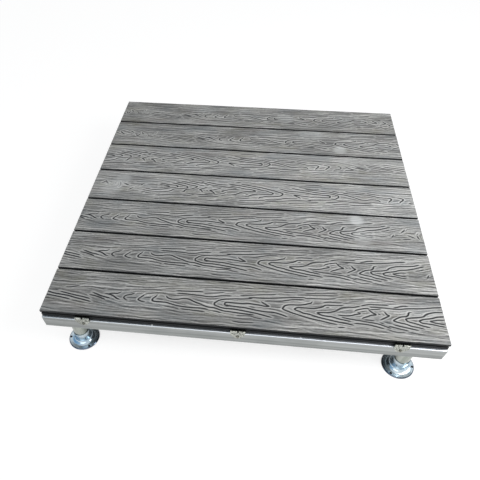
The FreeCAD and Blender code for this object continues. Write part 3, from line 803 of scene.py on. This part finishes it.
def embossed_top_material(index, level, contrast):
    """Grey composite with streaks along the rings; its embossed grooves are dark and its ridges
    pale, each partly in its own tone and partly as painted shade and highlight.
    """
    def tone(*parts):
        return colour(*(max(level + contrast * part, 0.0) for part in parts))

    material, n = new_material("embossed_grey_%d" % (index + 1))
    press = n.make("ShaderNodeAttribute", attribute_name="press").outputs["Vector"]
    strokes, ridges, fibre = n.split(press)
    marks = n.make("ShaderNodeAttribute", attribute_name="marks").outputs["Vector"]
    along, across, dust = n.split(marks)

    fine_place = [n.math("MULTIPLY", field, scale)
                  for field, scale in zip((along, across, fibre), FINE_GRAIN)]
    fine = n.noise(n.vector(*fine_place), 3.0, 0.65)
    patch = n.noise(n.position(7.0, 26.0, 1.0), 2.0)
    tint = n.noise(n.position(9.0, 34.0, 3.0), 1.0)
    warmth = n.noise(n.position(8.0, 17.0, 40.0), 2.0)
    speck = n.noise(n.position(420.0, 900.0, 600.0), 2.0, 0.7)
    dash = n.ramp(fibre, -2.1, -0.7, 1.0, 0.0)
    groove = n.math("MAXIMUM", n.math("MULTIPLY", dash, 0.55), n.ramp(strokes, 0.07, 0.48))

    body = n.mix(n.ramp(fibre, -1.9, 1.9, 0.0, 1.0, "LINEAR"),
                 tone(-88, -86, -87), tone(98, 98, 96))
    # Layers of tone, each by its share of a field, as steps away from the board's level.
    for share, steps in (
        # Paler on the raised fibres: partly their own tone, partly a painted highlight of the
        # relief.
        (n.math("MULTIPLY", n.ramp(fibre, 0.4, 1.8), 0.9), (122, 122, 120)),
        (n.ramp(fine, 0.3, 0.7, 0.0, 0.45), (50, 50, 48)),
        (n.ramp(fine, 0.3, 0.5, 0.5, 0.0), (-70, -68, -68)),
        (n.ramp(patch, 0.3, 0.7, 0.55, 0.0), (-40, -38, -38)),
        (n.ramp(tint, 0.5, 0.72, 0.0, 0.2), (8, -1, -4)),
        (n.ramp(warmth, 0.5, 0.7, 0.0, 0.22), (20, 18, -4)),
        (n.ramp(warmth, 0.34, 0.48, 0.22, 0.0), (2, 12, 18)),
        # Paler ridges beside the strokes: partly their own worn tone, partly a painted highlight.
        (n.math("MULTIPLY", ridges, 0.75), (84, 84, 82)),
        (n.ramp(speck, 0.55, 0.75, 0.0, 0.3), (45, 45, 43)),
    ):
        body = n.mix(share, body, tone(*steps))
    # Dark strokes and fibre dips: partly the grooves' own darker tone, partly painted shade in
    # them.
    body = n.mix(n.math("MULTIPLY", groove, 0.98), body, colour(30, 32, 34))
    body = n.mix(n.math("MULTIPLY", dust, 0.8), body, tone(84, 86, 86))

    relief = n.bump(fibre, 0.0006, 0.8)
    relief = n.bump(fine, 0.0006, 0.6, relief)
    relief = n.bump(speck, 0.0001, 0.5, relief)
    n.principled(Base_Color=body, Roughness=n.ramp(fine, 0.3, 0.7, 0.74, 0.58), Normal=relief,
                 IOR=1.45)
    return material


def board_core_material():
    """Charcoal composite of the sides, underside, chambers and cut ends, also laid on the boards'
    rounded top edges as painted shade.
    """
    material, n = new_material("charcoal_core")
    drawn = n.noise(n.position(6.0, 700.0, 700.0), 3.0, 0.6)
    grit = n.noise(n.position(900.0, 900.0, 900.0), 2.0, 0.6)
    flake = n.noise(n.position(210.0, 260.0, 260.0), 3.0, 0.7)
    body = n.mix(n.ramp(drawn, 0.3, 0.7), colour(8, 9, 10), colour(21, 23, 25))
    body = n.mix(n.ramp(flake, 0.6, 0.75, 0.0, 0.2), body, colour(80, 78, 74))
    relief = n.bump(drawn, 0.0002, 0.6)
    relief = n.bump(grit, 0.0001, 0.5, relief)
    n.principled(Base_Color=body, Roughness=n.ramp(grit, 0.3, 0.7, 0.55, 0.75), Normal=relief,
                 Specular_IOR_Level=0.3)
    return material


def brushed_material(name, dark, light, streaks, bands, rough, metallic=1.0, corner_highlight=None):
    """Satin metal; fine streaks and broader bands run the way that their scales are smallest.
    A painted highlight goes on the rail's upper corner, most at the right."""
    material, n = new_material(name)
    brush = n.noise(n.position(*streaks), 4.0, 0.65)
    band = n.noise(n.position(*bands), 2.0, 0.5)
    cloud = n.noise(n.position(11.0, 11.0, 11.0))
    body = n.mix(n.ramp(band, 0.3, 0.7), dark, light)
    body = n.mix(n.ramp(brush, 0.35, 0.65, 0.0, 0.35), body, light)
    body = n.mix(n.ramp(cloud, 0.45, 0.75, 0.0, 0.3), body, dark)
    if corner_highlight is not None:
        # Painted highlight: the rail's upper corner turns paler, most at the right, where the lamp
        # catches it.
        x, _, height = n.split(n.coordinates("Object"))
        share = n.math("MULTIPLY", n.ramp(height, *RAIL_CORNER_HEIGHT),
                       n.ramp(x, *RAIL_CORNER_HIGHLIGHT))
        body = n.mix(share, body, corner_highlight)
    n.principled(Base_Color=body, Metallic=metallic, Normal=n.bump(brush, 0.00004, 0.5),
                 Roughness=n.ramp(cloud, 0.3, 0.7, *rough))
    return material


def foot_material():
    """Polished flange, with painted shade on the side and outer edge of its rim and in its three
    screw holes.
    """
    material, n = new_material("polished_foot")
    x, y, height = n.split(n.coordinates("Object"))
    from_centre = n.vector(
        n.math("SUBTRACT", n.math("ABSOLUTE", x), FOOT_CENTRE[0]),
        n.math("SUBTRACT", n.math("ABSOLUTE", y), FOOT_CENTRE[1]), 0.0,
    )
    gaps = []
    for degrees in FOOT_HOLE_DEGREES:
        turn = math.radians(degrees)
        hole = (FOOT_HOLE_CIRCLE * math.cos(turn), FOOT_HOLE_CIRCLE * math.sin(turn), 0.0)
        gaps.append(n.between("DISTANCE", from_centre, hole))
    nearest = n.math("MINIMUM", n.math("MINIMUM", gaps[0], gaps[1]), gaps[2])
    reach = n.between("DISTANCE", from_centre, (0.0, 0.0, 0.0))
    # Painted shade: the side of the rim and the flange's outer edge go dark, standing in for the
    # outline that reflection and contact shade give the rim.
    rim = n.math("MAXIMUM", n.ramp(height, *FOOT_RIM_HEIGHT, 1.0, 0.0),
                 n.ramp(reach, *FOOT_RIM_REACH))
    cloud = n.noise(n.position(24.0, 24.0, 24.0), 2.0)
    scratch = n.noise(n.position(300.0, 300.0, 1200.0), 4.0, 0.65)
    # Bluish tint: partly the chrome's own tone, partly a painted reflection of the blue sky it
    # mirrors.
    body = n.mix(n.ramp(cloud, 0.3, 0.7), colour(164, 186, 202), colour(214, 224, 228))
    body = n.mix(n.ramp(scratch, 0.45, 0.7, 0.0, 0.3), body, colour(150, 168, 182))
    body = n.mix(rim, body, colour(88, 99, 114))
    # Painted shade: the walls and edges of the three screw holes go near black.
    body = n.mix(n.ramp(nearest, *FOOT_HOLE_EDGE, 1.0, 0.0), body, colour(14, 16, 20))
    n.principled(Base_Color=body, Metallic=0.88, Normal=n.bump(scratch, 0.00003, 0.4),
                 Roughness=n.ramp(cloud, 0.3, 0.7, 0.12, 0.24))
    return material


def make_materials():
    """Finishes of the CAD nodes that the scene keeps."""
    return {
        "frame_x": brushed_material(
            "satin_tube_along_x", colour(132, 135, 134), colour(168, 171, 170),
            (4.0, 1500.0, 1500.0), (1.5, 90.0, 110.0), (0.34, 0.46),
            corner_highlight=colour(224, 229, 236)),
        "frame_y": brushed_material(
            "satin_tube_along_y", colour(140, 143, 142), colour(180, 183, 182),
            (1500.0, 4.0, 1500.0), (90.0, 1.5, 110.0), (0.34, 0.46)),
        "post": brushed_material(
            "satin_post", colour(130, 136, 128), colour(170, 174, 168),
            (1500.0, 1500.0, 6.0), (60.0, 60.0, 4.0), (0.16, 0.26)),
        "foot": foot_material(),
        "clip": brushed_material(
            "folded_clip", colour(58, 62, 56), colour(196, 198, 190),
            (900.0, 900.0, 300.0), (260.0, 260.0, 290.0), (0.16, 0.3)),
        # Painted highlight: the rail-top screws are near white and only a little metallic, so that
        # their small heads show bright as glints would.
        "strip_screw": brushed_material(
            "screw_with_painted_glint", colour(226, 228, 230), colour(246, 247, 248),
            (1200.0, 1200.0, 1200.0), (300.0, 300.0, 300.0), (0.35, 0.45), metallic=0.3),
        # Painted shade: the clip screws are made darker all over, standing in for the shade in and
        # round their recesses.
        "screw": brushed_material(
            "screw_with_painted_shade", colour(82, 82, 76), colour(150, 148, 138),
            (1200.0, 1200.0, 1200.0), (300.0, 300.0, 300.0), (0.2, 0.34)),
    }


# Finish of each CAD node by the start of its name; the first that fits counts.
MATERIAL_OF_PREFIX = (
    ("front_rail", "frame_x"), ("rear_rail", "frame_x"), ("end_cap", "frame_y"),
    ("joist", "frame_y"), ("leg_post", "post"), ("flange_foot", "foot"),
    ("edge_clip_screws", "screw"), ("gap_clip_screws", "screw"),
    ("front_strip_screws", "strip_screw"), ("edge_clip", "clip"), ("gap_clips", "clip"),
)


def dress_cad_nodes(materials):
    """Gives each carried-over CAD node its finish."""
    for name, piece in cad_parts.items():
        for prefix, key in MATERIAL_OF_PREFIX:
            if name.startswith(prefix):
                piece.data.materials.clear()
                piece.data.materials.append(materials[key])
                break


def make_floor():
    """Pale floor that shows as white but keeps the panel's shadow."""
    half = FLOOR_HALF_SIZE
    mesh = bpy.data.meshes.new("studio_floor")
    mesh.from_pydata([(-half, -half, 0), (half, -half, 0), (half, half, 0), (-half, half, 0)], [],
                     [(0, 1, 2, 3)])
    material, n = new_material("pale_floor")
    path = n.make("ShaderNodeLightPath").outputs
    contact = n.ramp(n.shelter(CONTACT_REACH), *CONTACT_RANGE)
    shelter = n.shelter(SHELTER_REACH)
    in_open = n.math("MULTIPLY", contact, n.ramp(shelter, *SHELTER_RANGE))
    under_sky = n.ramp(shelter, *MIRRORED_RANGE)
    seen = n.math("MAXIMUM", path["Is Camera Ray"], path["Is Transmission Ray"])
    shader = n.make("ShaderNodeBsdfDiffuse", {"Color": (*[FLOOR_GREY] * 3, 1.0)}).outputs[0]
    for ray, (grey, strength), share in (
        (seen, FLOOR_SEEN, in_open), (path["Is Glossy Ray"], FLOOR_MIRRORED, under_sky),
    ):
        lit = n.make("ShaderNodeBsdfDiffuse", {"Color": (*[grey] * 3, 1.0)})
        glow = n.make("ShaderNodeEmission", {
            "Color": WHITE, "Strength": n.math("MULTIPLY", share, strength),
        })
        both = n.make("ShaderNodeAddShader", {0: lit.outputs[0], 1: glow.outputs[0]})
        shader = n.pick(ray, shader, both.outputs[0])
    n.show(shader)
    mesh.materials.append(material)
    floor = bpy.data.objects.new("studio_floor", mesh)
    bpy.context.scene.collection.objects.link(floor)


def room_in_metal(n, glossy):
    """White all round, but as polished metal sees it bluish at the left and dim low at the rear."""
    direction = n.coordinates("Generated")
    lean = n.between("DOT_PRODUCT", direction, BLUE_SIDE)
    room = n.mix(n.math("MULTIPLY", n.ramp(lean, *BLUE_RANGE), glossy), WHITE, BLUE_ROOM)
    _, y, z = n.split(direction)
    dim = n.math("MULTIPLY", glossy, n.ramp(y, *DIM_REAR_RANGE))
    dim = n.math("MULTIPLY", dim, n.ramp(z, *DIM_LOW_RANGE))
    return n.mix(dim, room, DIM_ROOM)


def make_world():
    """Even white surroundings; plainer where they only light the panel."""
    world = bpy.data.worlds.new("studio")
    bpy.context.scene.world = world
    n = Nodes(world, "ShaderNodeOutputWorld")
    path = n.make("ShaderNodeLightPath").outputs
    glossy = path["Is Glossy Ray"]
    seen = n.math("MAXIMUM", path["Is Camera Ray"], path["Is Transmission Ray"])
    light = n.make("ShaderNodeBackground", {"Color": WORLD_LIGHT, "Strength": WORLD_STRENGTH})
    shown = n.make("ShaderNodeBackground", {"Color": room_in_metal(n, glossy), "Strength": 1.0})
    n.show(n.pick(n.math("MAXIMUM", seen, glossy), light.outputs[0], shown.outputs[0]))


def make_lamp(name, place, aim, size, power):
    """Soft rectangular lamp at a place, turned to a point."""
    lamp = bpy.data.lights.new(name, "AREA")
    lamp.shape = "RECTANGLE"
    lamp.size, lamp.size_y = size
    lamp.energy = power
    holder = bpy.data.objects.new(name, lamp)
    bpy.context.scene.collection.objects.link(holder)
    holder.location = place
    holder.rotation_euler = (Vector(aim) - Vector(place)).to_track_quat("-Z", "Y").to_euler()


def make_camera():
    """Camera at the photograph's place."""
    camera = bpy.data.cameras.new("photo_camera")
    camera.sensor_width = CAMERA_SENSOR
    camera.sensor_fit = "HORIZONTAL"
    camera.lens = CAMERA_LENS
    camera.shift_x, camera.shift_y = CAMERA_SHIFT
    camera.clip_start, camera.clip_end = CAMERA_CLIP
    holder = bpy.data.objects.new("photo_camera", camera)
    bpy.context.scene.collection.objects.link(holder)
    holder.location = CAMERA_PLACE
    holder.rotation_euler = tuple(math.radians(turn) for turn in CAMERA_TURN)
    bpy.context.scene.camera = holder


make_camera()
core = board_core_material()
fibres = draw_fibres()
for number, (level, contrast) in enumerate(BOARD_TONES):
    build_board(number, (embossed_top_material(number, level, contrast), core), fibres)
dress_cad_nodes(make_materials())
make_floor()
make_world()
for lamp in LAMPS:
    make_lamp(*lamp)
bpy.context.scene.view_settings.view_transform = "Standard"
